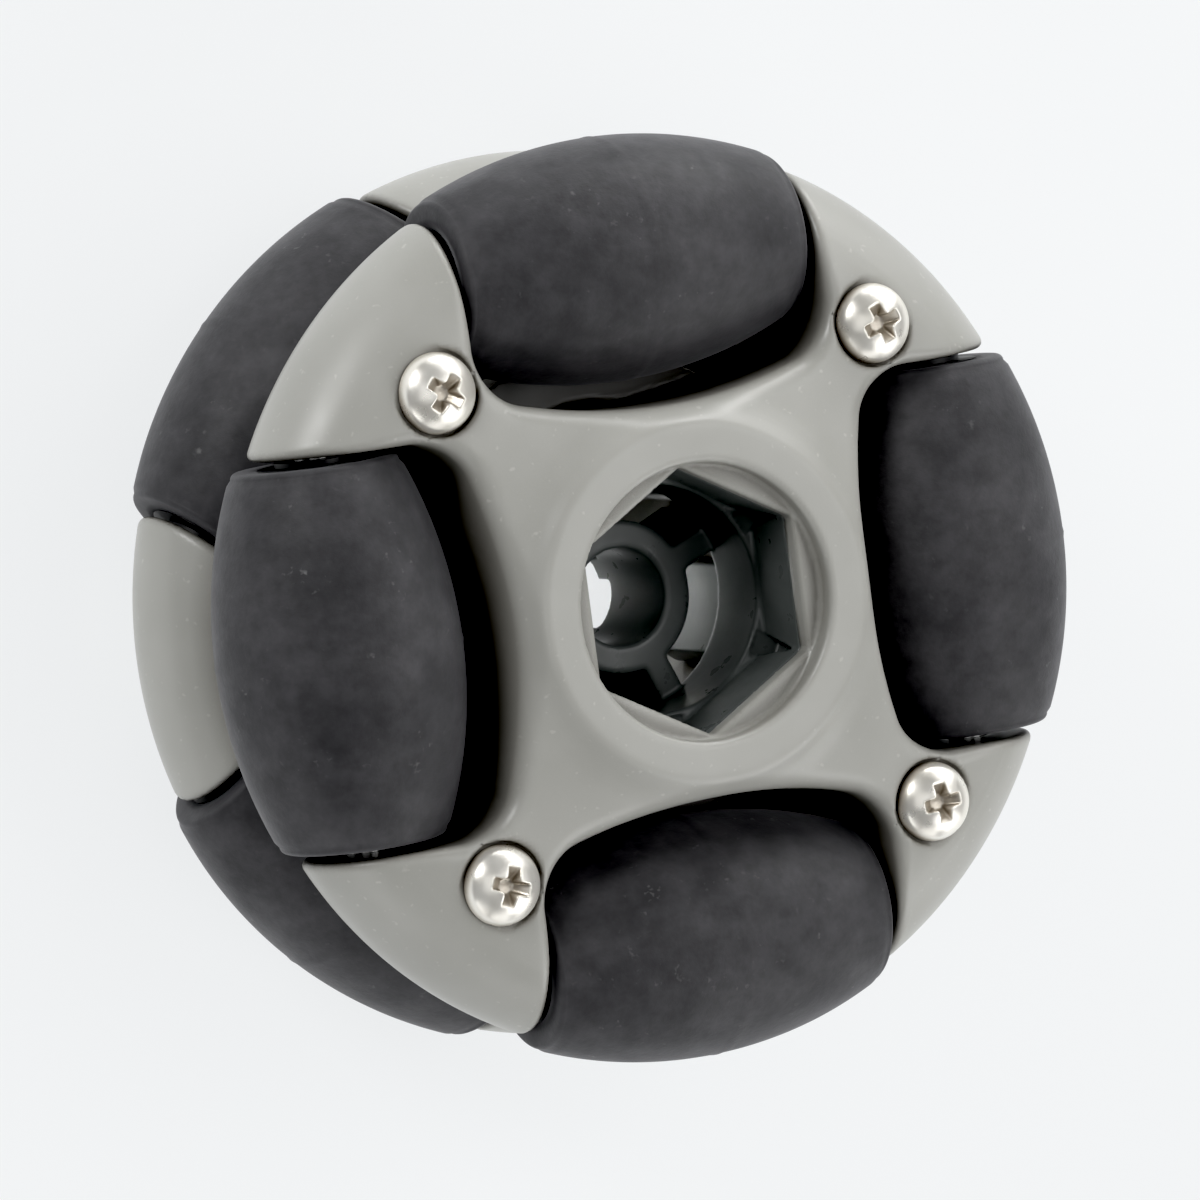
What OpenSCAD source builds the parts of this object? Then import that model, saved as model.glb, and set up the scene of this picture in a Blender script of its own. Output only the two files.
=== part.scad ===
// Double-row omni wheel, 48 mm.
// The spin axis is Z. The front row of barrel rollers lies above Z = 0 and the
// rear row below it, turned by 45 degrees, so that one row always touches the
// ground. The wheel rests on its rear boss face.

/* [Wheel] */
// Diameter over the rollers
wheel_d = 48; // [47:0.5:49]
// Width between the two boss faces
wheel_w = 25.5; // [25.3:0.1:26.5]
// Distance between the two rows of roller axles
row_pitch = 11.9; // [11.8:0.1:12.3]
// Diameter of the circle that the plastic fans reach
fan_d = 46.8; // [45.6:0.2:47]

/* [Rollers] */
// Distance from the wheel axis to a roller's own axis
roller_a = 17.63; // [17.4:0.05:17.8]
// Length of the rubber barrel
roller_len = 19.4; // [18.6:0.1:19.7]
// Diameter of the roller's plastic core
core_d = 5.8; // [5:0.2:6.6]
// Diameter of the steel axle pin
pin_d = 2.0; // [1.6:0.1:2.2]
// Length of the steel axle pin
pin_len = 25; // [24:0.2:25.4]
// Gap all round between the pin and the turning core
pin_play = 0.06; // [0.03:0.01:0.09]

/* [Housing] */
// Width of the pocket that a roller sits in
pocket_w = 20.3; // [20.2:0.05:20.5]
// Distance from the wheel axis to the pocket's inner wall
pocket_in = 10.1; // [9.9:0.05:10.3]
// Corner radius of the pocket
pocket_r = 2.2; // [1.6:0.1:2.6]
// Half thickness of a fan at its thickest point
fan_half = 4.9; // [4.6:0.05:4.95]
// Diameter of the round opening in the boss
mouth_d = 14.2; // [14:0.1:14.6]
// Depth of the round opening down to the hexagon ledge
mouth_depth = 1.15; // [0.8:0.05:1.3]
// Hexagon across its flats
hex_af = 12; // [11.6:0.1:12.2]

/* [Adapter] */
// Outer hexagon of the axle adapter across its flats
adapter_af = 14; // [13.8:0.1:14.2]
// Outer diameter of the middle tube
tube_d = 8; // [7.4:0.2:8.4]
// Bore of the middle tube
bore_d = 5.1; // [4.8:0.1:5.3]
// Height of the tube's and the ribs' front above the wheel's centre
tube_front = 2.95; // [2.5:0.05:3.4]
// Depth of the tube's rear end behind the wheel's centre
tube_back = 3.5; // [3:0.1:4.5]
// Width of the four ribs
rib_w = 1.4; // [1:0.1:1.8]
// Depth of the ribs' rear end behind the wheel's centre
rib_back = 4.8; // [4.6:0.1:5.6]

/* [Screws] */
// Radius of the circle that the screws stand on
screw_r = 17.7; // [17.4:0.1:18]
// Diameter of the pan head
head_d = 4.2; // [3.8:0.1:4.3]
// Height of the pan head
head_h = 1.5; // [1.2:0.1:1.6]
// Diameter of the thread over its crests
thread_d = 2.2; // [1.8:0.1:2.4]
// Length of the thread below the head
thread_len = 8; // [6:0.5:8.5]

/* [Hidden] */
$fn = 96;

row_z = row_pitch / 2;             // plane of the front row's axles
wheel_half = wheel_w / 2;          // boss face
fan_r = fan_d / 2;
nose_a = 6;                        // radial half axis of the fan's rounded nose
nose_c = fan_r - nose_a;           // where the nose starts to curve
face_z = row_z + fan_half;         // face of the spokes at the screws
ledge_z = wheel_half - mouth_depth;
floor_t = 1.0;                     // thickness of the hexagon ledge
cavity_z = ledge_z - floor_t;      // inner face of the ledge
adapter_front = cavity_z - 0.05;
rear_mouth_r = 8.15;               // round mouth of the rear cover, wide enough for the adapter
step_z = 6.9;                      // where the adapter's hexagon turns round
tab_from = -37.9;                  // angles of the tab to the right of the bore
tab_to = 7.3;
notch_front = 9.8;                 // where a corner notch of the socket starts, and its half width at the step
notch_w = 0.62;
round_r = hex_af / 2 - 0.1;        // round part of the adapter's cavity
pocket_arc = 28.5;                 // radius of the pocket's curved inner wall
web_r = 12.8;                      // disc between the two rows
seat_depth = 0.35;                 // sunk seat of a screw head
seat_z = face_z - seat_depth;
housing_grey = [0.66, 0.67, 0.64];
insert_black = [0.14, 0.15, 0.15];
rubber_black = [0.17, 0.17, 0.18];
core_black = [0.10, 0.10, 0.11];
steel = [0.78, 0.78, 0.77];
nickel = [0.86, 0.84, 0.80];

// Quarter of the nose's half oval, from the face (t = 90) to the rim (t = 0)
function nose(t0, t1, n, s) = [for (i = [0 : n]) let (t = t0 + (t1 - t0) * i / n)
  [nose_c + nose_a * cos(t), row_z + s * fan_half * sin(t)]];

// Front face from the boss to the spokes, a flat ring and then a soft slope
function crown() = [[8.9, wheel_half], [9.35, wheel_half - 0.12], [9.8, wheel_half - 0.42],
  [10.3, wheel_half - 0.78], [11, wheel_half - 1.08], [12.2, face_z + 0.52],
  [14, face_z + 0.2], [16, face_z + 0.04]];

module hexagon(af) { circle(d = af / cos(30), $fn = 6); }
// Flats face the rollers at 0 and 180 degrees
module hex_hole(af, z0, z1) {
  translate([0, 0, z0]) rotate([0, 0, 30]) linear_extrude(height = z1 - z0) hexagon(af);
}

// Outline of one roller pocket, open towards the rim, for a roller at 0 degrees
module pocket_outline() {
  half = pocket_w / 2;
  cv = pocket_in + pocket_arc;
  cu = half - pocket_r;
  reach = pocket_arc - pocket_r;
  ang = asin(cu / reach);
  cvv = cv - reach * cos(ang);
  union() {
    intersection() {
      translate([cv, 0]) circle(r = pocket_arc, $fn = 240);
      polygon([[cv, 0], [cv - 40, -40 * tan(ang)], [cv - 40, 40 * tan(ang)]]);
    }
    for (s = [-1, 1]) translate([cvv, s * cu]) circle(r = pocket_r);
    translate([cvv, -half]) square([20, pocket_w]);
    translate([cvv - pocket_r / 2, -cu]) square([20, 2 * cu]);
  }
}
module pockets(z0, z1) {
  for (k = [0 : 3]) rotate([0, 0, 90 * k]) translate([0, 0, z0])
    linear_extrude(height = z1 - z0) pocket_outline();
}
// The half-round seats that the axle pins are clamped in
module pin_seats() {
  for (k = [0 : 3]) rotate([0, 0, 90 * k]) translate([roller_a, 0, row_z]) rotate([90, 0, 0])
    cylinder(r = pin_d / 2 + 0.02, h = pin_len + 0.1, center = true);
}
module screw_spots() {
  for (k = [0 : 3]) rotate([0, 0, 45 + 90 * k]) translate([screw_r, 0, 0]) children();
}

// Front half of a row: the part of the housing that the screws pull down
module cover() {
  difference() {
    rotate_extrude($fn = 180)
      polygon(concat([[0, row_z], [0, wheel_half]], crown(), nose(90, 0, 14, 1)));
    pockets(row_z - 1, wheel_half + 1);
    translate([0, 0, ledge_z]) cylinder(d = mouth_d, h = mouth_depth + 1);
    hex_hole(hex_af, cavity_z - 1, ledge_z + 1);
    hex_hole(adapter_af + 0.1, row_z - 1, cavity_z);
    pin_seats();
    screw_spots() {
      translate([0, 0, row_z - 1]) cylinder(d = thread_d + 0.3, h = 10);
      translate([0, 0, seat_z]) cylinder(d = head_d + 0.3, h = 5);
    }
  }
}
// Rear half of the front row, which takes the threads
module half_row() {
  difference() {
    rotate_extrude($fn = 180)
      polygon(concat([[0, row_z - fan_half]], nose(-90, 0, 14, 1), [[0, row_z]]));
    pockets(row_z - fan_half - 1, row_z + 1);
    pin_seats();
    screw_spots() translate([0, 0, seat_z - thread_len - 0.3])
      cylinder(d = thread_d + 0.04, h = thread_len + 3);
  }
}
module to_rear() { mirror([0, 0, 1]) rotate([0, 0, 45]) children(); }

module front_cover() { color(housing_grey) cover(); }
// Open at the back: the adapter is pushed in from here up to the front ledge
module rear_cover() {
  color(housing_grey) difference() {
    union() {
      to_rear() cover();
      mirror([0, 0, 1]) translate([0, 0, row_z]) cylinder(r = 9.4, h = wheel_half - row_z - 0.4);
    }
    mirror([0, 0, 1]) {
      hex_hole(adapter_af + 0.1, row_z - 1, wheel_half + 1);
      translate([0, 0, ledge_z]) cylinder(r = rear_mouth_r, h = 3);
    }
  }
}
module centre_hub() {
  color(housing_grey) difference() {
    union() {
      half_row();
      to_rear() half_row();
      cylinder(r = pocket_in, h = 2 * (row_z - fan_half) + 1, center = true);
      cylinder(r = web_r, h = 2 * (row_z - fan_half) + 0.1, center = true);
    }
    hex_hole(adapter_af + 0.1, -row_z - 1, row_z + 1);
  }
}

// Part of a ring round the bore, between two angles
module sector(a0, a1, r) {
  polygon([[0, 0], [r * cos(a0), r * sin(a0)],
    [r * cos((a0 + a1) / 2) * 1.1, r * sin((a0 + a1) / 2) * 1.1], [r * cos(a1), r * sin(a1)]]);
}
// Hexagonal sleeve with a notch in each corner of its socket, a tube for the axle
// held by four ribs, and four tabs that grip the hexagonal hole of the wheel
module axle_adapter() {
  sleeve_back = tube_front - 0.65;
  color(insert_black) difference() {
    union() {
      difference() {
        hex_hole(adapter_af, sleeve_back, adapter_front);
        cylinder(r = round_r, h = 3 * adapter_front, center = true);
        hex_hole(hex_af, step_z, adapter_front + 1);
      }
      translate([0, 0, -tube_back]) cylinder(d = tube_d, h = tube_front + tube_back);
      intersection() {
        hex_hole(adapter_af - 0.16, -rib_back, tube_front);
        for (k = [0, 1]) rotate([0, 0, 22.5 + 90 * k])
          translate([-9, -rib_w / 2, -rib_back - 1]) cube([18, rib_w, 20]);
      }
      difference() {
        intersection() {
          hex_hole(adapter_af - 0.16, -tube_back, sleeve_back + 0.4);
          translate([0, 0, -tube_back - 1]) linear_extrude(height = 20)
            for (k = [0 : 3]) rotate([0, 0, 90 * k]) sector(tab_from, tab_to, 9);
        }
        cylinder(r = round_r + 0.12, h = 40, center = true);
      }
    }
    cylinder(d = bore_d, h = 40, center = true);
    for (k = [0 : 5]) rotate([0, 0, 30 + 60 * k]) translate([6.1, 0, 0]) rotate([90, 0, 90])
      linear_extrude(height = 1.4)
        polygon([[-notch_w, step_z - 0.1], [notch_w, step_z - 0.1], [0, notch_front]]);
  }
}

// Pan head self-tapping screw with a cross recess, point down, seat at Z = 0
module pan_screw() {
  edge_h = 0.45;
  cap = head_h - edge_h;
  cap_r = (head_d * head_d / 4 + cap * cap) / (2 * cap);
  difference() {
    union() {
      intersection() {
        cylinder(d = head_d, h = head_h);
        translate([0, 0, head_h - cap_r]) sphere(r = cap_r);
      }
      translate([0, 0, -thread_len + 1.2]) cylinder(d = thread_d, h = thread_len - 1.1);
      rotate_extrude() polygon([[0, -thread_len + 1.3], [thread_d / 2, -thread_len + 1.3],
        [thread_d / 2, -thread_len + 1.2], [0.15, -thread_len], [0, -thread_len]]);
    }
    translate([0, 0, head_h - 0.9]) linear_extrude(height = 2) {
      square([0.55, 2.3], center = true);
      square([2.3, 0.55], center = true);
    }
  }
}
module row_of_screws() {
  for (k = [0 : 3]) rotate([0, 0, 45 + 90 * k]) translate([screw_r, 0, seat_z])
    rotate([0, 0, 17 + 23 * k]) pan_screw();
}
module front_screws() { color(nickel) row_of_screws(); }
module rear_screws() { color(nickel) to_rear() row_of_screws(); }

// One roller, its axis along Z. The barrel's flank is an arc of the wheel's own
// circle, so that the roller carries on the wheel's round outline.
module roller_tyre() {
  color(rubber_black) rotate_extrude() intersection() {
    translate([-roller_a, 0]) circle(d = wheel_d, $fn = 360);
    translate([core_d / 2, -roller_len / 2]) square([6, roller_len]);
  }
}
module roller_core() {
  color(core_black) difference() {
    union() {
      cylinder(d = core_d, h = roller_len, center = true);
      cylinder(d = core_d - 1.8, h = pocket_w - 0.4, center = true);
    }
    cylinder(r = pin_d / 2 + pin_play, h = 30, center = true);
  }
}
module roller_pin() { color(steel) cylinder(d = pin_d, h = pin_len, center = true); }

module at_front(k) {
  rotate([0, 0, 90 * (k - 1)]) translate([roller_a, 0, row_z]) rotate([-90, 0, 0]) children();
}
module at_rear(k) {
  rotate([0, 0, 45 + 90 * (k - 1)]) translate([roller_a, 0, -row_z]) rotate([-90, 0, 0]) children();
}

front_cover();
centre_hub();
rear_cover();
axle_adapter();
front_screws();
rear_screws();
at_front(1) roller_tyre();  // front_roller_tyre_1
at_front(2) roller_tyre();  // front_roller_tyre_2
at_front(3) roller_tyre();  // front_roller_tyre_3
at_front(4) roller_tyre();  // front_roller_tyre_4
at_rear(1) roller_tyre();  // rear_roller_tyre_1
at_rear(2) roller_tyre();  // rear_roller_tyre_2
at_rear(3) roller_tyre();  // rear_roller_tyre_3
at_rear(4) roller_tyre();  // rear_roller_tyre_4
at_front(1) roller_core();  // front_roller_core_1
at_front(2) roller_core();  // front_roller_core_2
at_front(3) roller_core();  // front_roller_core_3
at_front(4) roller_core();  // front_roller_core_4
at_rear(1) roller_core();  // rear_roller_core_1
at_rear(2) roller_core();  // rear_roller_core_2
at_rear(3) roller_core();  // rear_roller_core_3
at_rear(4) roller_core();  // rear_roller_core_4
at_front(1) roller_pin();  // front_roller_pin_1
at_front(2) roller_pin();  // front_roller_pin_2
at_front(3) roller_pin();  // front_roller_pin_3
at_front(4) roller_pin();  // front_roller_pin_4
at_rear(1) roller_pin();  // rear_roller_pin_1
at_rear(2) roller_pin();  // rear_roller_pin_2
at_rear(3) roller_pin();  // rear_roller_pin_3
at_rear(4) roller_pin();  // rear_roller_pin_4
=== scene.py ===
"""Looks of the double-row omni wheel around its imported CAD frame. Lengths in the shape code are in millimetres."""
import math

import bmesh
import bpy
import numpy as np
from mathutils import Matrix, Vector


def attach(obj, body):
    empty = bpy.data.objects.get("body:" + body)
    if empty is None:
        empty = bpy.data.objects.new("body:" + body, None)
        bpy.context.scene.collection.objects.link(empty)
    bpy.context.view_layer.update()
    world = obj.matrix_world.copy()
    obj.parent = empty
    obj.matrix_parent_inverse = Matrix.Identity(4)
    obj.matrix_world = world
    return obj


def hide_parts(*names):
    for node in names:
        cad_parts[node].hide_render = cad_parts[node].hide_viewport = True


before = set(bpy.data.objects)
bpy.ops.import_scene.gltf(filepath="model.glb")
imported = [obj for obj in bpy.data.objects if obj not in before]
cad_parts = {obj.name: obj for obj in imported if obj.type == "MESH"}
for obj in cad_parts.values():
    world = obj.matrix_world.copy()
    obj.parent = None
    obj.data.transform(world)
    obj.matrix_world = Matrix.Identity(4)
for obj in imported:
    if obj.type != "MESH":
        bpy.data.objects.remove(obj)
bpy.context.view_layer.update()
MM = 0.001

# ---------------------------------------------------------------- sizes, as in the CAD source
ROW_Z, HALF_W, FAN_R = 5.95, 12.75, 23.4
NOSE_A, FAN_HALF = 6.0, 4.9
NOSE_C, FACE_Z = FAN_R - NOSE_A, ROW_Z + FAN_HALF
POCKET_W, POCKET_IN, POCKET_R, POCKET_ARC = 20.3, 10.1, 2.2, 28.5
MOUTH_R, LEDGE_Z, CAVITY_Z = 7.1, 11.6, 10.6
HEX_AF, ADAPTER_AF, ADAPTER_FRONT, STEP_Z, ROUND_R = 12.0, 14.0, 10.55, 6.9, 5.9
TUBE_R, BORE_R, TUBE_FRONT, TUBE_BACK, RIB_W = 4.0, 2.55, 2.95, 3.5, 1.4
SLEEVE_BACK, RIB_BACK, REAR_MOUTH_R = 2.3, 4.8, 8.15
NOTCH_W, NOTCH_FRONT = 0.62, 9.8
SCREW_R, HEAD_R, HEAD_H, SEAT_Z = 17.7, 2.1, 1.5, 10.5
ROLLER_A, ROLLER_LEN, WHEEL_R, CORE_R, PIN_R = 17.63, 19.4, 24.0, 2.9, 1.0
WEB_R = 12.8


# ---------------------------------------------------------------- distance fields
def rnd_and(a, b, r):
    """Intersection whose outer edge is rounded with radius r."""
    return np.minimum(-r, np.maximum(a, b)) + np.hypot(np.maximum(a + r, 0), np.maximum(b + r, 0))


def rnd_or(a, b, r):
    """Union whose inner corner is filled with radius r."""
    return np.maximum(r, np.minimum(a, b)) - np.hypot(np.maximum(r - a, 0), np.maximum(r - b, 0))


def rnd_cut(a, b, r):
    return rnd_and(a, -b, r)


def hex_field(x, y, af, corner=0.15):
    """Hexagon with two flats across the X axis."""
    k = af / 2
    a = np.abs(x)
    b = np.abs(0.5 * x + 0.8660254 * y)
    c = np.abs(0.5 * x - 0.8660254 * y)
    return rnd_and(rnd_and(a - k, b - k, corner), c - k, corner)


def chaikin(pts, n, keep=()):
    pts = np.array(pts, float)
    for _ in range(n):
        q = 0.75 * pts[:-1] + 0.25 * pts[1:]
        r = 0.25 * pts[:-1] + 0.75 * pts[1:]
        mid = np.empty((2 * len(q), 2))
        mid[0::2], mid[1::2] = q, r
        pts = np.vstack([pts[:1], mid, pts[-1:]])
    return pts


def polygon_table(poly, lo, hi, h):
    """Signed distance to a closed polygon, sampled on a grid."""
    xs, ys = np.arange(lo[0], hi[0] + h, h), np.arange(lo[1], hi[1] + h, h)
    X, Y = np.meshgrid(xs, ys, indexing="ij")
    best = np.full(X.shape, 1e9)
    inside = np.zeros(X.shape, bool)
    A, B = poly, np.roll(poly, -1, 0)
    for a, b in zip(A, B):
        d = b - a
        L = float(d @ d)
        if L < 1e-12:
            continue
        t = np.clip(((X - a[0]) * d[0] + (Y - a[1]) * d[1]) / L, 0, 1)
        best = np.minimum(best, (X - a[0] - t * d[0]) ** 2 + (Y - a[1] - t * d[1]) ** 2)
        if a[1] != b[1]:
            cross = ((a[1] > Y) != (b[1] > Y)) & (X < (b[0] - a[0]) * (Y - a[1]) / (b[1] - a[1]) + a[0])
            inside ^= cross
    return np.where(inside, -1, 1) * np.sqrt(best), np.array(lo, float), h


def lookup(table, x, y):
    T, lo, h = table
    u = np.clip((x - lo[0]) / h, 0, T.shape[0] - 1.001)
    v = np.clip((y - lo[1]) / h, 0, T.shape[1] - 1.001)
    i, j = u.astype(np.int32), v.astype(np.int32)
    u, v = u - i, v - j
    return (T[i, j] * (1 - u) + T[i + 1, j] * u) * (1 - v) + (T[i, j + 1] * (1 - u) + T[i + 1, j + 1] * u) * v


def housing_profile():
    """Half section (r, z) of the row without its pockets: boss, slope, spokes, fan nose."""
    crown = [[6.0, HALF_W], [8.75, HALF_W], [9.15, HALF_W - 0.03], [9.7, HALF_W - 0.46], [10.0, HALF_W - 0.66],
             [10.5, HALF_W - 0.90], [11, HALF_W - 1.1], [12.2, FACE_Z + 0.52], [14, FACE_Z + 0.2], [16, FACE_Z + 0.04]]
    nose = [[NOSE_C + NOSE_A * math.cos(t), ROW_Z + FAN_HALF * math.sin(t)]
            for t in np.linspace(math.pi / 2, -math.pi / 2, 61)]
    top = chaikin(crown + nose[:1] + nose[1:12:3], 3)
    rest = np.array(nose[12:])
    return np.vstack([[[-3.0, HALF_W]], top, rest, [[-3.0, ROW_Z - FAN_HALF]]])


PROFILE = polygon_table(housing_profile(), (0, 0), (26, 14), 0.04)


def pocket_local(v, u):
    """One roller pocket: v along the radius, u along the roller. Negative inside the pocket."""
    flank = np.abs(u) - POCKET_W / 2
    inner = np.where(v < POCKET_IN + POCKET_ARC, np.hypot(v - POCKET_IN - POCKET_ARC, u) - POCKET_ARC, -9.0)
    return rnd_and(flank, inner, POCKET_R)


def fold(x, y):
    """Turns a point into the frame of its nearest quarter, where the pocket lies at angle 0."""
    a = np.arctan2(y, x)
    k = np.round(a / (math.pi / 2))
    a = a - k * (math.pi / 2)
    r = np.hypot(x, y)
    return r, r * np.cos(a), r * np.sin(a)


def row_solid(x, y, z):
    """The whole plastic of the front row, both halves, still without the opening in its middle."""
    r, v, u = fold(x, y)
    d = lookup(PROFILE, r, z)
    # the lip is softer along the pocket's inner wall than beside the fans
    soft = np.clip((17.0 - v) / 5.0, 0, 1)
    rad = 0.55 + 0.45 * soft
    d = rnd_cut(d, pocket_local(v, u), rad)
    # screws stand at 45 degrees in the folded frame, seen as two half circles
    s = SCREW_R * math.sqrt(0.5)
    q = np.hypot(v - s, np.abs(u) - s)
    seat = np.maximum(q - HEAD_R - 0.14, SEAT_Z - z)
    d = rnd_cut(d, seat, 0.16)
    d = np.maximum(d, -np.maximum(q - 1.22, 1.9 - z))
    # seats of the axle pins
    pin = np.maximum(np.hypot(v - ROLLER_A, z - ROW_Z) - PIN_R - 0.03, np.abs(u) - 12.55)
    return np.maximum(d, -pin)


def row_field(x, y, z):
    """The front row with its round mouth, ledge and hexagons."""
    d = row_solid(x, y, z)
    mouth = rnd_and(np.hypot(x, y) - MOUTH_R, LEDGE_Z - z, 0.2)
    d = rnd_cut(d, mouth, 0.26)
    d = rnd_cut(d, hex_field(x, y, HEX_AF), 0.12)
    return np.maximum(d, -np.maximum(hex_field(x, y, ADAPTER_AF + 0.12), z - CAVITY_Z))


def rear_row_field(x, y, z):
    """The rear row, turned by 45 degrees and mirrored, with a hexagonal hole right through."""
    c = math.sqrt(0.5)
    d = row_solid(x * c - y * c, x * c + y * c, -z)
    mouth = rnd_and(np.hypot(x, y) - REAR_MOUTH_R, LEDGE_Z + z, 0.2)
    d = rnd_cut(d, mouth, 0.26)
    return rnd_cut(d, hex_field(x, y, ADAPTER_AF + 0.12), 0.15)


def hub_field(x, y, z):
    r = np.hypot(x, y)
    c = math.sqrt(0.5)
    d = np.minimum(row_solid(x, y, z), row_solid(x * c - y * c, x * c + y * c, -z))
    web = np.minimum(np.maximum(r - POCKET_IN, np.abs(z) - 1.6), np.maximum(r - WEB_R, np.abs(z) - 1.1))
    d = np.minimum(d, web)
    return np.maximum(d, -hex_field(x, y, ADAPTER_AF + 0.12))


def adapter_field(x, y, z):
    """Hexagonal sleeve above, tube on four ribs below it, and four tabs between the ribs."""
    r = np.hypot(x, y)
    e = 0.12
    sleeve = rnd_and(hex_field(x, y, ADAPTER_AF, 0.4), np.maximum(z - ADAPTER_FRONT, SLEEVE_BACK - z), 0.2)
    sock = rnd_and(hex_field(x, y, HEX_AF, 0.1), STEP_Z - z, 0.08)
    sleeve = rnd_cut(sleeve, sock, e)
    sleeve = rnd_cut(sleeve, r - ROUND_R, 0.2)
    a = math.radians(22.5)
    c, s = math.cos(a), math.sin(a)
    p, q = x * c + y * s, -x * s + y * c
    ends = hex_field(x, y, ADAPTER_AF - 0.16, 0.3)
    ribs = rnd_and(np.maximum(np.minimum(np.abs(p), np.abs(q)) - RIB_W / 2, ends), -RIB_BACK - z, e)
    tube = rnd_and(r - TUBE_R, -TUBE_BACK - z, 0.16)
    core = rnd_and(rnd_or(ribs, tube, 0.2), z - TUBE_FRONT, 0.14)
    # tabs: part of a ring beyond the well, in four sectors
    ang = np.arctan2(y, x) - math.radians(-15.3)
    ang = ang - np.round(ang / (math.pi / 2)) * (math.pi / 2)
    side = (np.abs(ang) - math.radians(22.4)) * np.maximum(r, 3.0)
    tab = rnd_and(hex_field(x, y, ADAPTER_AF - 0.16, 0.3), 6.03 - r, 0.1)
    tab = rnd_and(rnd_and(tab, side, 0.1), np.maximum(z - SLEEVE_BACK - 0.4, -TUBE_BACK - z), 0.15)
    d = rnd_or(sleeve, core, 0.15)
    d = np.minimum(d, tab)
    # the socket's corners open into small wedge-shaped notches above the step
    turn = np.arctan2(y, x) - math.pi / 6
    turn = turn - np.round(turn / (math.pi / 3)) * (math.pi / 3)
    side = np.abs(r * np.sin(turn)) - NOTCH_W * (NOTCH_FRONT - z) / (NOTCH_FRONT - STEP_Z)
    notch = np.maximum(np.maximum(side, STEP_Z - 0.1 - z), np.maximum(6.1 - r, r * np.cos(turn) - 7.6))
    d = np.maximum(d, -notch)
    return rnd_cut(d, r - BORE_R, 0.16)


def screw_head_field(x, y, z):
    """Pan head with a tapered cross recess; the seat is z = 0."""
    r = np.hypot(x, y)
    edge = 0.42
    cap = HEAD_H - edge
    cr = (HEAD_R ** 2 + cap ** 2) / (2 * cap)
    dome = np.sqrt(r * r + (z - HEAD_H + cr) ** 2) - cr
    side = rnd_and(r - HEAD_R, -z, 0.08)
    d = rnd_and(dome, side, 0.30)
    deep = HEAD_H - 1.0
    ax, ay = np.abs(x), np.abs(y)
    # arms narrow towards the bottom and end on a slope
    lift = np.clip(z - deep, 0, 2)
    w = 0.25 + 0.09 * lift
    tip = 0.35 + 0.92 * lift
    arms = np.minimum(rnd_and(ax - w, ay - tip, 0.1), rnd_and(ay - w, ax - tip, 0.1))
    wing = np.abs(ax - ay) * 0.7071 - 0.12
    star = np.maximum(wing, r - 0.34 - 0.22 * lift)
    rec = rnd_or(arms, star, 0.12) * 0.8
    rec = rnd_and(rec, deep + 0.12 * r - z, 0.06)
    return rnd_cut(d, rec, 0.05)


# ---------------------------------------------------------------- meshing
def surface_net(field, lo, hi, h, polish=3):
    """Quads on the zero level of a distance field, with the corners moved onto it."""
    lo = np.array(lo, float)
    n = [int(math.ceil((b - a) / h)) + 1 for a, b in zip(lo, hi)]
    ax = [lo[i] + h * np.arange(n[i]) for i in range(3)]
    D = np.empty(n, np.float32)
    step = max(1, int(2.5e6 / (n[1] * n[2])))
    for i in range(0, n[0], step):
        X, Y, Z = np.meshgrid(ax[0][i:i + step], ax[1], ax[2], indexing="ij")
        D[i:i + step] = field(X, Y, Z)
    D[D == 0] = 1e-6
    S = D < 0
    count = np.zeros([k - 1 for k in n], np.int8)
    corners = [(a, b, c) for a in (0, 1) for b in (0, 1) for c in (0, 1)]
    for a, b, c in corners:
        count += S[a:n[0] - 1 + a, b:n[1] - 1 + b, c:n[2] - 1 + c]
    active = (count > 0) & (count < 8)
    cells = np.argwhere(active)
    index = np.full(active.shape, -1, np.int64)
    index[active] = np.arange(len(cells))
    V = np.stack([D[cells[:, 0] + a, cells[:, 1] + b, cells[:, 2] + c] for a, b, c in corners], 1).astype(float)
    C = np.array(corners, float)
    pos, cnt = np.zeros((len(cells), 3)), np.zeros(len(cells))
    for i in range(8):
        for j in range(i + 1, 8):
            if np.abs(C[i] - C[j]).sum() != 1:
                continue
            m = (V[:, i] < 0) != (V[:, j] < 0)
            t = V[m, i] / (V[m, i] - V[m, j])
            pos[m] += C[i] + t[:, None] * (C[j] - C[i])
            cnt[m] += 1
    P = lo + h * (cells + pos / cnt[:, None])
    faces = []
    for axis in range(3):
        o1, o2 = (axis + 1) % 3, (axis + 2) % 3
        a = np.take(S, np.arange(n[axis] - 1), axis)
        b = np.take(S, np.arange(1, n[axis]), axis)
        for inside, flip in ((a & ~b, False), (b & ~a, True)):
            e = np.argwhere(inside)
            e = e[(e[:, o1] > 0) & (e[:, o2] > 0) & (e[:, o1] < n[o1] - 1) & (e[:, o2] < n[o2] - 1)]
            quad = []
            for d1, d2 in ((-1, -1), (0, -1), (0, 0), (-1, 0)):
                k = e.copy()
                k[:, o1] += d1
                k[:, o2] += d2
                quad.append(index[k[:, 0], k[:, 1], k[:, 2]])
            quad = np.stack(quad, 1)
            faces.append(quad[:, ::-1] if flip else quad)
    F = np.vstack(faces)
    F = F[(F >= 0).all(1)]
    base = P.copy()
    e = 0.01
    for _ in range(polish):
        x, y, z = P.T
        d = field(x, y, z)
        g = np.stack([field(x + e, y, z) - field(x - e, y, z), field(x, y + e, z) - field(x, y - e, z),
                      field(x, y, z + e) - field(x, y, z - e)], 1) / (2 * e)
        g2 = np.maximum((g * g).sum(1), 0.2)
        P = P - np.clip(d, -h, h)[:, None] * g / g2[:, None]
        move = P - base
        far = np.linalg.norm(move, axis=1)
        P = base + move * np.minimum(1, 0.75 * h / np.maximum(far, 1e-9))[:, None]
    return P, F


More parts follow.
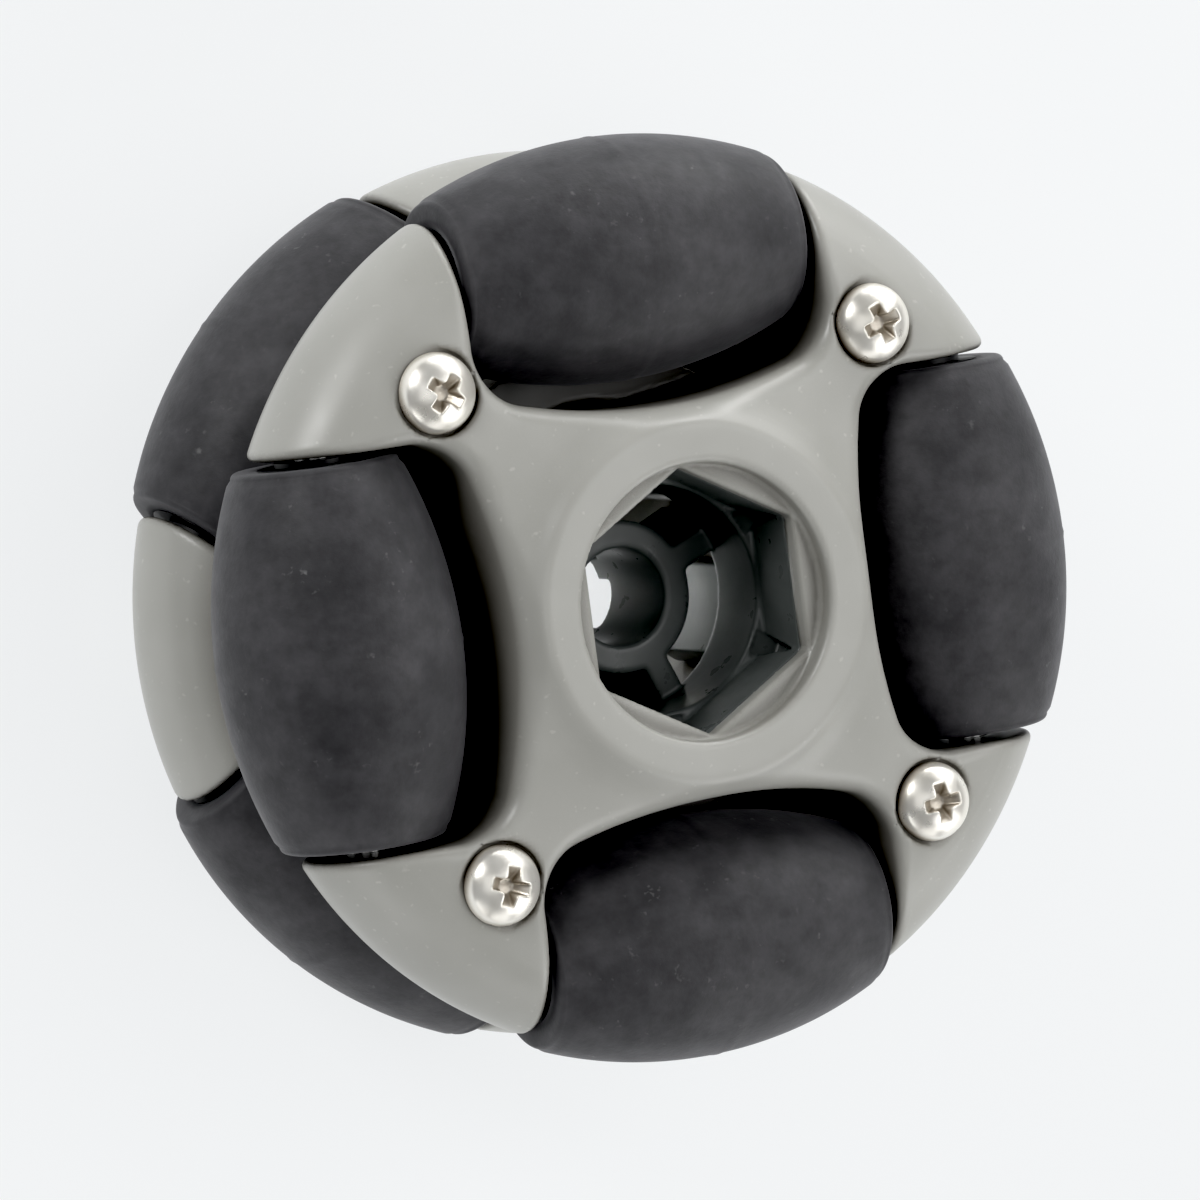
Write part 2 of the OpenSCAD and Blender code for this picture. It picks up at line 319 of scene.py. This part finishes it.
def new_piece(name, P, F, body, replaces=(), smooth=True):
    mesh = bpy.data.meshes.new(name)
    mesh.from_pydata((np.asarray(P) * MM).tolist(), [], np.asarray(F).tolist())
    mesh.validate()
    if smooth:
        mesh.shade_smooth()
    obj = bpy.data.objects.new(name, mesh)
    bpy.context.scene.collection.objects.link(obj)
    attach(obj, body)
    if replaces:
        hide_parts(*replaces)
    return obj


def slice_flat(P, F, cuts):
    """Cuts a mesh with planes z = level, keeps the side named by sign and closes it with a flat, sharp-edged face."""
    mesh = bpy.data.meshes.new("slice")
    mesh.from_pydata(np.asarray(P).tolist(), [], np.asarray(F).tolist())
    bm = bmesh.new()
    bm.from_mesh(mesh)
    bpy.data.meshes.remove(mesh)
    for level, sign in cuts:
        geom = bm.verts[:] + bm.edges[:] + bm.faces[:]
        bmesh.ops.bisect_plane(bm, geom=geom, dist=0.002, plane_co=(0, 0, level), plane_no=(0, 0, sign), clear_inner=True)
        rim = [e for e in bm.edges if e.is_boundary and all(abs(v.co.z - level) < 0.01 for v in e.verts)]
        bmesh.ops.triangle_fill(bm, use_beauty=True, use_dissolve=False, edges=rim, normal=(0, 0, -sign))
    loose = [v for v in bm.verts if not v.link_faces]
    bmesh.ops.delete(bm, geom=loose, context="VERTS")
    bmesh.ops.recalc_face_normals(bm, faces=bm.faces[:])
    return bm


def piece_from_bm(name, bm, body, replaces, sharp_levels=()):
    for f in bm.faces:
        f.smooth = True
    for e in bm.edges:
        if len(e.link_faces) == 2 and any(abs(v.co.z - l) < 0.004 for l in sharp_levels for v in e.verts[:1]) \
                and all(any(abs(v.co.z - l) < 0.004 for l in sharp_levels) for v in e.verts):
            a, b = (f.normal for f in e.link_faces)
            if a.dot(b) < 0.8:
                e.smooth = False
    bmesh.ops.scale(bm, vec=(MM, MM, MM), verts=bm.verts)
    mesh = bpy.data.meshes.new(name)
    bm.to_mesh(mesh)
    bm.free()
    obj = bpy.data.objects.new(name, mesh)
    bpy.context.scene.collection.objects.link(obj)
    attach(obj, body)
    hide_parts(*replaces)
    return obj


def lathe(profile, n):
    """Closed surface of revolution about Z from (radius, z) points that start and end on the same loop."""
    prof = np.array(profile, float)
    m = len(prof)
    ang = np.linspace(0, 2 * math.pi, n, endpoint=False)
    P = np.stack([np.outer(np.cos(ang), prof[:, 0]), np.outer(np.sin(ang), prof[:, 0]),
                  np.outer(np.ones(n), prof[:, 1])], 2).reshape(-1, 3)
    F = []
    for i in range(n):
        j = (i + 1) % n
        for k in range(m):
            l = (k + 1) % m
            F.append((i * m + k, j * m + k, j * m + l, i * m + l))
    return P, np.array(F)


# ---------------------------------------------------------------- housing
H = 0.2
P, F = surface_net(row_field, (-24, -24, 5.4), (24, 24, 13.1), H)
cover_bm = slice_flat(P, F, [(ROW_Z, 1)])
front_shell = piece_from_bm("front_shell", cover_bm, "hub", ["front_cover"], (ROW_Z,))

P, F = surface_net(hub_field, (-24, -24, -6.5), (24, 24, 6.5), H * 1.15)
hub_bm = slice_flat(P, F, [(ROW_Z, -1), (-ROW_Z, 1)])
middle_shell = piece_from_bm("middle_shell", hub_bm, "hub", ["centre_hub"], (ROW_Z, -ROW_Z))

P, F = surface_net(rear_row_field, (-24, -24, -13.1), (24, 24, -5.4), H * 1.1)
rear_bm = slice_flat(P, F, [(-ROW_Z, -1)])
rear_shell = piece_from_bm("rear_shell", rear_bm, "hub", ["rear_cover"], (-ROW_Z,))

# ---------------------------------------------------------------- adapter
P, F = surface_net(adapter_field, (-8.6, -8.6, -5.2), (8.6, 8.6, 11), 0.17)
adapter = new_piece("ribbed_adapter", P, F, "hub", ["axle_adapter"])


# ---------------------------------------------------------------- screws
def screw_mesh(turn):
    P, F = surface_net(screw_head_field, (-2.3, -2.3, -0.2), (2.3, 2.3, 1.7), 0.07)
    shank = [(0.02, 0.3), (1.02, 0.3), (1.02, -0.3)]
    z = -0.4
    while z > -6.7:
        shank += [(0.86, z), (1.09, z - 0.28), (1.09, z - 0.34), (0.86, z - 0.62)]
        z -= 0.62
    shank += [(0.7, -7.2), (0.14, -7.98), (0.02, -7.98)]
    Q, G = lathe(shank, 32)
    c, s = math.cos(turn), math.sin(turn)
    R = np.array([[c, -s, 0], [s, c, 0], [0, 0, 1]])
    return np.vstack([P, Q]) @ R.T, [tuple(f) for f in F] + [tuple(np.array(f) + len(P)) for f in G[:, ::-1]]


def screw_row(rear, turns):
    PP, FF = [], []
    n = 0
    for k in range(4):
        P, F = screw_mesh(turns[k])
        ang = math.radians(45 + 90 * k)
        P = P + np.array([SCREW_R * math.cos(ang), SCREW_R * math.sin(ang), SEAT_Z])
        if rear:
            c = math.sqrt(0.5)
            x, y, z = P.T
            P = np.stack([x * c + y * c, -x * c + y * c, -z], 1)
            F = [f[::-1] for f in F]
        FF += [tuple(int(i) + n for i in f) for f in F]
        PP.append(P)
        n += len(P)
    return np.vstack(PP), FF


def make_screws(name, node, rear, turns):
    P, F = screw_row(rear, turns)
    mesh = bpy.data.meshes.new(name)
    mesh.from_pydata((P * MM).tolist(), [], F)
    mesh.shade_smooth()
    obj = bpy.data.objects.new(name, mesh)
    bpy.context.scene.collection.objects.link(obj)
    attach(obj, "hub")
    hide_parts(node)
    return obj


front_heads = make_screws("front_pan_screws", "front_screws", False, [math.radians(a) for a in (20, 50, 70, 5)])
rear_heads = make_screws("rear_pan_screws", "rear_screws", True, [math.radians(a) for a in (10, 60, 35, 80)])


# ---------------------------------------------------------------- rollers
def tyre_profile():
    """(radius, axial) loop of the rubber barrel, with rounded ends and a fine mould line."""
    half = ROLLER_LEN / 2
    flank = lambda t: math.sqrt(WHEEL_R ** 2 - t * t) - ROLLER_A
    er = 0.34
    pts = [(CORE_R + 0.01, -half + 0.06)]
    rim = flank(half)
    pts += [(CORE_R + 0.5, -half + 0.02), (rim - er - 0.25, -half)]
    for a in np.linspace(0, math.pi / 2, 7)[1:]:
        pts.append((rim - er + er * math.sin(a) * 0.98, -half + er * (1 - math.cos(a))))
    ts = np.linspace(-half + er, half - er, 71)[1:-1]
    for t in ts:
        seam = 0.040 * math.exp(-(t / 0.10) ** 2)
        pts.append((flank(t) - 0.044 + seam, t))
    for a in np.linspace(math.pi / 2, 0, 7)[:-1]:
        pts.append((rim - er + er * math.sin(a) * 0.98, half - er * (1 - math.cos(a))))
    pts += [(rim - er - 0.25, half), (CORE_R + 0.5, half - 0.02), (CORE_R + 0.01, half - 0.06)]
    return pts


def roller_frame(phi, z):
    """Rotation that takes the lathe's Z to the roller's tangential axis."""
    t = Vector((-math.sin(phi), math.cos(phi), 0))
    r = Vector((math.cos(phi), math.sin(phi), 0))
    n = t.cross(r)
    return np.array([[r[0], n[0], t[0]], [r[1], n[1], t[1]], [r[2], n[2], t[2]]]), np.array([ROLLER_A * r[0], ROLLER_A * r[1], z])


rng = np.random.RandomState(7)
tyres = []
NA = 144
for row, off, sgn in (("front", 0.0, 1), ("rear", 45.0, -1)):
    for k in range(1, 5):
        P, F = lathe(tyre_profile(), NA)
        # soft, slightly uneven rubber
        ph = np.arctan2(P[:, 1], P[:, 0])
        rad = np.hypot(P[:, 0], P[:, 1])
        a1, a2, a3 = rng.uniform(0, 6.28, 3)
        wob = -0.02 + 0.012 * np.cos(2 * ph + a1) + 0.008 * np.cos(3 * ph + a2 + P[:, 2] * 0.35)
        w = np.clip((rad - CORE_R) / 1.5, 0, 1)
        rad2 = rad + wob * w
        P[:, 0], P[:, 1] = rad2 * np.cos(ph), rad2 * np.sin(ph)
        R, c = roller_frame(math.radians(off + 90 * (k - 1)), sgn * ROW_Z)
        P = P @ R.T + c
        body = f"{row}_roller_{k}"
        tyres.append(new_piece(f"{row}_barrel_{k}", P, F, body, [f"{row}_roller_tyre_{k}"]))
        bm = bmesh.new()
        bm.from_mesh(tyres[-1].data)
        bmesh.ops.recalc_face_normals(bm, faces=bm.faces[:])
        bm.to_mesh(tyres[-1].data)
        bm.free()


# ---------------------------------------------------------------- materials
class Nodes:
    def __init__(self, name):
        self.mat = bpy.data.materials.new(name)
        self.mat.use_nodes = True
        self.t = self.mat.node_tree
        self.t.nodes.clear()
        self.out = self.add("ShaderNodeOutputMaterial")
        self.bsdf = self.add("ShaderNodeBsdfPrincipled")
        self.link(self.bsdf.outputs[0], self.out.inputs[0])
        self.coord = self.add("ShaderNodeTexCoord").outputs["Object"]

    def add(self, kind, **kw):
        n = self.t.nodes.new(kind)
        for k, v in kw.items():
            setattr(n, k, v)
        return n

    def link(self, a, b):
        self.t.links.new(a, b)

    def noise(self, scale, detail=2, rough=0.5, coord=None, dims="3D"):
        n = self.add("ShaderNodeTexNoise", noise_dimensions=dims)
        n.inputs["Scale"].default_value = scale
        n.inputs["Detail"].default_value = detail
        n.inputs["Roughness"].default_value = rough
        self.link(coord or self.coord, n.inputs["Vector"])
        return n.outputs["Fac"]

    def ramp(self, src, stops, mode="LINEAR"):
        n = self.add("ShaderNodeValToRGB")
        n.color_ramp.interpolation = mode
        el = n.color_ramp.elements
        while len(el) < len(stops):
            el.new(0.5)
        for e, (p, c) in zip(el, stops):
            e.position = p
            e.color = (*c, 1) if len(c) == 3 else c
        self.link(src, n.inputs[0])
        return n.outputs["Color"]

    def maprange(self, src, a, b, c, d):
        n = self.add("ShaderNodeMapRange")
        for i, v in zip((1, 2, 3, 4), (a, b, c, d)):
            n.inputs[i].default_value = v
        self.link(src, n.inputs[0])
        return n.outputs[0]

    def mix(self, fac, a, b, blend="MIX"):
        n = self.add("ShaderNodeMix", data_type="RGBA", blend_type=blend)
        if isinstance(fac, (int, float)):
            n.inputs[0].default_value = fac
        else:
            self.link(fac, n.inputs[0])
        for sock, v in ((n.inputs[6], a), (n.inputs[7], b)):
            if isinstance(v, tuple):
                sock.default_value = (*v, 1)
            else:
                self.link(v, sock)
        return n.outputs[2]

    def math(self, op, a, b=None):
        n = self.add("ShaderNodeMath", operation=op)
        for sock, v in zip(n.inputs, (a, b)):
            if v is None:
                continue
            if isinstance(v, (int, float)):
                sock.default_value = v
            else:
                self.link(v, sock)
        return n.outputs[0]

    def bump(self, height, strength, distance):
        n = self.add("ShaderNodeBump")
        n.inputs["Strength"].default_value = strength
        n.inputs["Distance"].default_value = distance
        self.link(height, n.inputs["Height"])
        self.link(n.outputs[0], self.bsdf.inputs["Normal"])
        return n

    def set(self, **kw):
        for k, v in kw.items():
            sock = self.bsdf.inputs[k.replace("_", " ")]
            sock.default_value = v


def housing_material():
    m = Nodes("grey_moulded_plastic")
    cloud = m.noise(160, 3, 0.55)
    fine = m.noise(1500, 3, 0.6)
    col = m.ramp(cloud, [(0.25, (0.380, 0.378, 0.350)), (0.75, (0.430, 0.428, 0.400))])
    speck = m.maprange(m.noise(2600, 1, 0.5), 0.70, 0.78, 0.0, 1.0)
    col = m.mix(m.math("MULTIPLY", speck, 0.35), col, (0.62, 0.62, 0.58))
    # painted shade: an ambient-occlusion ramp darkens the colour where the plastic is shut in, deep in the pockets and
    # under the rollers
    deep = m.add("ShaderNodeAmbientOcclusion", samples=3)
    deep.inputs["Distance"].default_value = 0.0035
    painted_shade = m.ramp(deep.outputs["AO"], [(0.18, (0.03, 0.03, 0.03)), (0.52, (0.27, 0.24, 0.205)), (0.80, (1.0, 1.0, 1.0))])
    col = m.mix(1.0, col, painted_shade, "MULTIPLY")
    m.link(col, m.bsdf.inputs["Base Color"])
    m.link(m.maprange(m.noise(420, 3, 0.6), 0.3, 0.7, 0.29, 0.38), m.bsdf.inputs["Roughness"])
    m.bump(m.math("ADD", fine, m.math("MULTIPLY", cloud, 2.0)), 0.25, 0.00002)
    m.set(IOR=1.5)
    return m.mat


def rubber_material(i):
    m = Nodes(f"charcoal_rubber_{i}")
    off = m.add("ShaderNodeVectorMath", operation="ADD")
    off.inputs[1].default_value = (0.013 * i, 0.029 * i, 0.007 * i)
    m.link(m.coord, off.inputs[0])
    co = off.outputs[0]
    cloud = m.noise(230, 4, 0.6, co)
    col = m.ramp(cloud, [(0.30, (0.0315, 0.0310, 0.0342)), (0.70, (0.0670, 0.0657, 0.0704))])
    blotch = m.maprange(m.noise(700, 3, 0.65, co), 0.35, 0.65, 0.66, 1.0)
    col = m.mix(1.0, col, m.ramp(blotch, [(0.0, (0, 0, 0)), (1.0, (1, 1, 1))]), "MULTIPLY")
    dust = m.maprange(m.noise(1900, 2, 0.6, co), 0.64, 0.78, 0.0, 1.0)
    patch = m.maprange(m.noise(330, 3, 0.6, co), 0.52, 0.72, 0.0, 1.0)
    dust = m.math("MULTIPLY", dust, patch)
    col = m.mix(m.math("MULTIPLY", dust, 0.6), col, (0.24, 0.24, 0.24))
    m.link(col, m.bsdf.inputs["Base Color"])
    m.link(m.maprange(m.noise(600, 3, 0.6, co), 0.3, 0.7, 0.55, 0.68), m.bsdf.inputs["Roughness"])
    grain = m.noise(3200, 4, 0.65, co)
    m.bump(m.math("ADD", grain, m.math("MULTIPLY", dust, 0.6)), 0.5, 0.00004)
    m.set(IOR=1.45, Sheen_Weight=0.22, Sheen_Roughness=0.45)
    m.bsdf.inputs["Sheen Tint"].default_value = (0.75, 0.75, 0.78, 1)
    return m.mat


def adapter_material():
    m = Nodes("black_moulded_plastic")
    cloud = m.noise(300, 3, 0.55)
    col = m.ramp(cloud, [(0.3, (0.105, 0.114, 0.112)), (0.7, (0.140, 0.152, 0.148))])
    m.link(col, m.bsdf.inputs["Base Color"])
    m.link(m.maprange(m.noise(700, 3, 0.6), 0.3, 0.7, 0.26, 0.38), m.bsdf.inputs["Roughness"])
    m.bump(m.noise(1400, 3, 0.6), 0.15, 0.00002)
    m.set(IOR=1.48)
    return m.mat


def metal_material(name, lo, hi, r0, r1, streak=900, metallic=1.0, recess=False):
    m = Nodes(name)
    col = m.ramp(m.noise(500, 3, 0.6), [(0.3, lo), (0.7, hi)])
    if recess:
        # painted shade: an ambient-occlusion ramp darkens and browns the cross recess and the joint under the head
        deep = m.add("ShaderNodeAmbientOcclusion", samples=3)
        deep.inputs["Distance"].default_value = 0.0008
        recess_painted_shade = m.ramp(deep.outputs["AO"], [(0.30, (0.10, 0.075, 0.05)), (0.58, (0.42, 0.33, 0.23)), (0.80, (1.0, 1.0, 1.0))])
        col = m.mix(1.0, col, recess_painted_shade, "MULTIPLY")
    m.link(col, m.bsdf.inputs["Base Color"])
    m.link(m.maprange(m.noise(streak, 3, 0.6), 0.3, 0.7, r0, r1), m.bsdf.inputs["Roughness"])
    m.bump(m.noise(1600, 2, 0.5), 0.15, 0.00002)
    m.set(Metallic=metallic)
    return m.mat


def core_material():
    m = Nodes("core_black_plastic")
    m.link(m.ramp(m.noise(400, 3, 0.5), [(0.3, (0.012, 0.012, 0.013)), (0.7, (0.022, 0.022, 0.024))]), m.bsdf.inputs["Base Color"])
    m.link(m.maprange(m.noise(900, 2, 0.5), 0.3, 0.7, 0.35, 0.5), m.bsdf.inputs["Roughness"])
    m.bump(m.noise(1800, 2, 0.5), 0.2, 0.00002)
    return m.mat


def dress(obj, mat):
    obj.data.materials.clear()
    obj.data.materials.append(mat)


grey = housing_material()
for o in (front_shell, middle_shell, rear_shell):
    dress(o, grey)
dress(adapter, adapter_material())
nickel = metal_material("bright_nickel", (0.88, 0.85, 0.77), (0.95, 0.93, 0.87), 0.26, 0.36, metallic=0.62, recess=True)
dress(front_heads, nickel)
dress(rear_heads, nickel)
for i, o in enumerate(tyres):
    dress(o, rubber_material(i))
steel = metal_material("ground_steel", (0.62, 0.62, 0.61), (0.74, 0.74, 0.73), 0.16, 0.28)
black_core = core_material()
for name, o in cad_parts.items():
    if "_pin_" in name:
        dress(o, steel)
    elif "_core_" in name:
        dress(o, black_core)

# ---------------------------------------------------------------- stage, camera, light
RM = Matrix(((0.88325628, 0.14742317, 0.44511206), (0.15127792, -0.98812021, 0.02708226),
             (0.44381678, 0.04341505, -0.89506525))) @ Matrix.Rotation(math.radians(17.7248), 3, "Z")
T = Vector((-0.193, -0.237, 377.4)) * MM
cam_data = bpy.data.cameras.new("camera")
cam = bpy.data.objects.new("camera", cam_data)
bpy.context.scene.collection.objects.link(cam)
cam_rot = RM.transposed() @ Matrix(((1, 0, 0), (0, -1, 0), (0, 0, -1)))
cam.matrix_world = Matrix.Translation(-(RM.transposed() @ T)) @ cam_rot.to_4x4()
cam_data.sensor_width = 36.0
cam_data.lens = 36.0 * 7220.5 / 1200.0
cam_data.clip_start, cam_data.clip_end = 0.01, 20.0
bpy.context.scene.camera = cam


def cam_dir(x, y, z):
    """World direction of a vector given as right, up and towards the viewer in the camera's own frame."""
    return (cam_rot @ Vector((x, y, z))).normalized()


def softbox(name, where, dist, size, power, color=(1, 1, 1)):
    data = bpy.data.lights.new(name, "AREA")
    data.shape = "RECTANGLE"
    data.size, data.size_y = size
    data.energy = power
    data.color = color
    obj = bpy.data.objects.new(name, data)
    bpy.context.scene.collection.objects.link(obj)
    d = cam_dir(*where)
    obj.location = d * dist
    obj.rotation_mode = "QUATERNION"
    obj.rotation_quaternion = d.to_track_quat("Z", "Y")
    return obj


# floor: a large pale sheet just under the boss, a little luminous so its tone stays even around the wheel; its glow is
# painted light and shade: it fades out in a disc under the wheel as painted shadow, and a small patch under the hub's
# bore glows as a painted pool of light
bm = bmesh.new()
bmesh.ops.create_grid(bm, x_segments=8, y_segments=8, size=3.0)
fm = bpy.data.meshes.new("floor")
bm.to_mesh(fm)
bm.free()
floor = bpy.data.objects.new("floor", fm)
floor.location = (0, 0, -HALF_W * MM - 0.00001)
bpy.context.scene.collection.objects.link(floor)
fmat = bpy.data.materials.new("pale_floor")
fmat.use_nodes = True
nt = fmat.node_tree
nt.nodes.clear()
o = nt.nodes.new("ShaderNodeOutputMaterial")
add = nt.nodes.new("ShaderNodeAddShader")
em = nt.nodes.new("ShaderNodeEmission")
df = nt.nodes.new("ShaderNodeBsdfDiffuse")
em.inputs[0].default_value = (0.885, 0.902, 0.912, 1)
where = nt.nodes.new("ShaderNodeTexCoord")
far = nt.nodes.new("ShaderNodeVectorMath")
far.operation = "LENGTH"
nt.links.new(where.outputs["Object"], far.inputs[0])
# painted shadow: this ramp takes the floor's glow to nothing in a disc under the wheel
ring = nt.nodes.new("ShaderNodeValToRGB")
ring.color_ramp.interpolation = "EASE"
while len(ring.color_ramp.elements) < 4:
    ring.color_ramp.elements.new(0.5)
for e, (r, v) in zip(ring.color_ramp.elements, ((0.0, 0.0), (0.50, 0.0), (0.66, 1.0), (1.0, 1.0))):
    e.position, e.color = r, (v, v, v, 1)
span = nt.nodes.new("ShaderNodeMapRange")
span.inputs[2].default_value = 0.030
nt.links.new(far.outputs["Value"], span.inputs[0])
nt.links.new(span.outputs[0], ring.inputs[0])
glow = nt.nodes.new("ShaderNodeMath")
glow.operation = "MULTIPLY"
glow.inputs[1].default_value = 0.86
# painted pool of light: a small patch of the floor under the hub's bore keeps its glow inside the dark disc
near = nt.nodes.new("ShaderNodeVectorMath")
near.operation = "DISTANCE"
near.inputs[1].default_value = (0.0052, -0.0016, 0)
nt.links.new(where.outputs["Object"], near.inputs[0])
painted_light_spot = nt.nodes.new("ShaderNodeMapRange")
for i, v in zip((1, 2, 3, 4), (0.0030, 0.0036, 1.0, 0.0)):
    painted_light_spot.inputs[i].default_value = v
nt.links.new(near.outputs["Value"], painted_light_spot.inputs[0])
both = nt.nodes.new("ShaderNodeMath")
both.operation = "MAXIMUM"
nt.links.new(ring.outputs[0], both.inputs[0])
nt.links.new(painted_light_spot.outputs[0], both.inputs[1])
nt.links.new(both.outputs[0], glow.inputs[0])
nt.links.new(glow.outputs[0], em.inputs[1])
df.inputs[0].default_value = (0.16, 0.16, 0.16, 1)
nt.links.new(em.outputs[0], add.inputs[0])
nt.links.new(df.outputs[0], add.inputs[1])
nt.links.new(add.outputs[0], o.inputs[0])
fm.materials.append(fmat)

world = bpy.data.worlds.new("world")
bpy.context.scene.world = world
world.use_nodes = True
bg = world.node_tree.nodes["Background"]
bg.inputs[0].default_value = (0.93, 0.96, 1.0, 1)
bg.inputs[1].default_value = 0.05

for name, where, size, power in (
        ("top_left_front", (-0.49, 0.49, 0.72), 0.18, 1.00), ("right_front", (0.8, 0.2, 0.6), 0.40, 1.12),
        ("bottom_right", (0.75, -0.6, 0.3), 0.40, 1.15), ("right", (0.95, 0.1, 0.2), 0.40, 0.20),
        ("top_right_rim", (0.65, 0.72, 0.0), 0.40, 1.10), ("top_rim", (0.25, 0.95, -0.15), 0.40, 2.80),
        ("front", (0.05, 0.0, 1.0), 0.40, 0.44)):
    softbox(name, where, 0.60, (size, size), power)

# low boxes round the wheel, in the wheel's own frame, light the outer sides more than the front
for turn, power in ((135, 0.60), (225, 0.44), (270, 0.34), (315, 0.50)):
    a, e = math.radians(turn), math.radians(15)
    low = softbox(f"low_{turn}", (0, 0, 1), 0.60, (0.34, 0.24), power)
    d = Vector((math.cos(a) * math.cos(e), math.sin(a) * math.cos(e), math.sin(e)))
    low.location = d * 0.60
    low.rotation_quaternion = d.to_track_quat("Z", "Y")

# a small lamp under the hub stands in for the bright table seen through the wheel's middle
lamp = bpy.data.lights.new("under_hub", "AREA")
lamp.shape = "RECTANGLE"
lamp.size, lamp.size_y = 0.002, 0.007
lamp.energy = 0.0006
lamp.spread = math.radians(70)
lamp_obj = bpy.data.objects.new("under_hub", lamp)
bpy.context.scene.collection.objects.link(lamp_obj)
lamp_obj.location = (0.0038, -0.0004, -0.0105)
aim = Vector((0.0069, -0.0004, -0.0015)) - lamp_obj.location
lamp_obj.visible_glossy = False
lamp_obj.visible_camera = False
lamp_obj.rotation_mode = "QUATERNION"
lamp_obj.rotation_quaternion = aim.to_track_quat("-Z", "Y")

view = bpy.context.scene.view_settings
view.view_transform = "Standard"
view.use_curve_mapping = True
view.curve_mapping.black_level = (0.015, 0.015, 0.015)
view.curve_mapping.update()
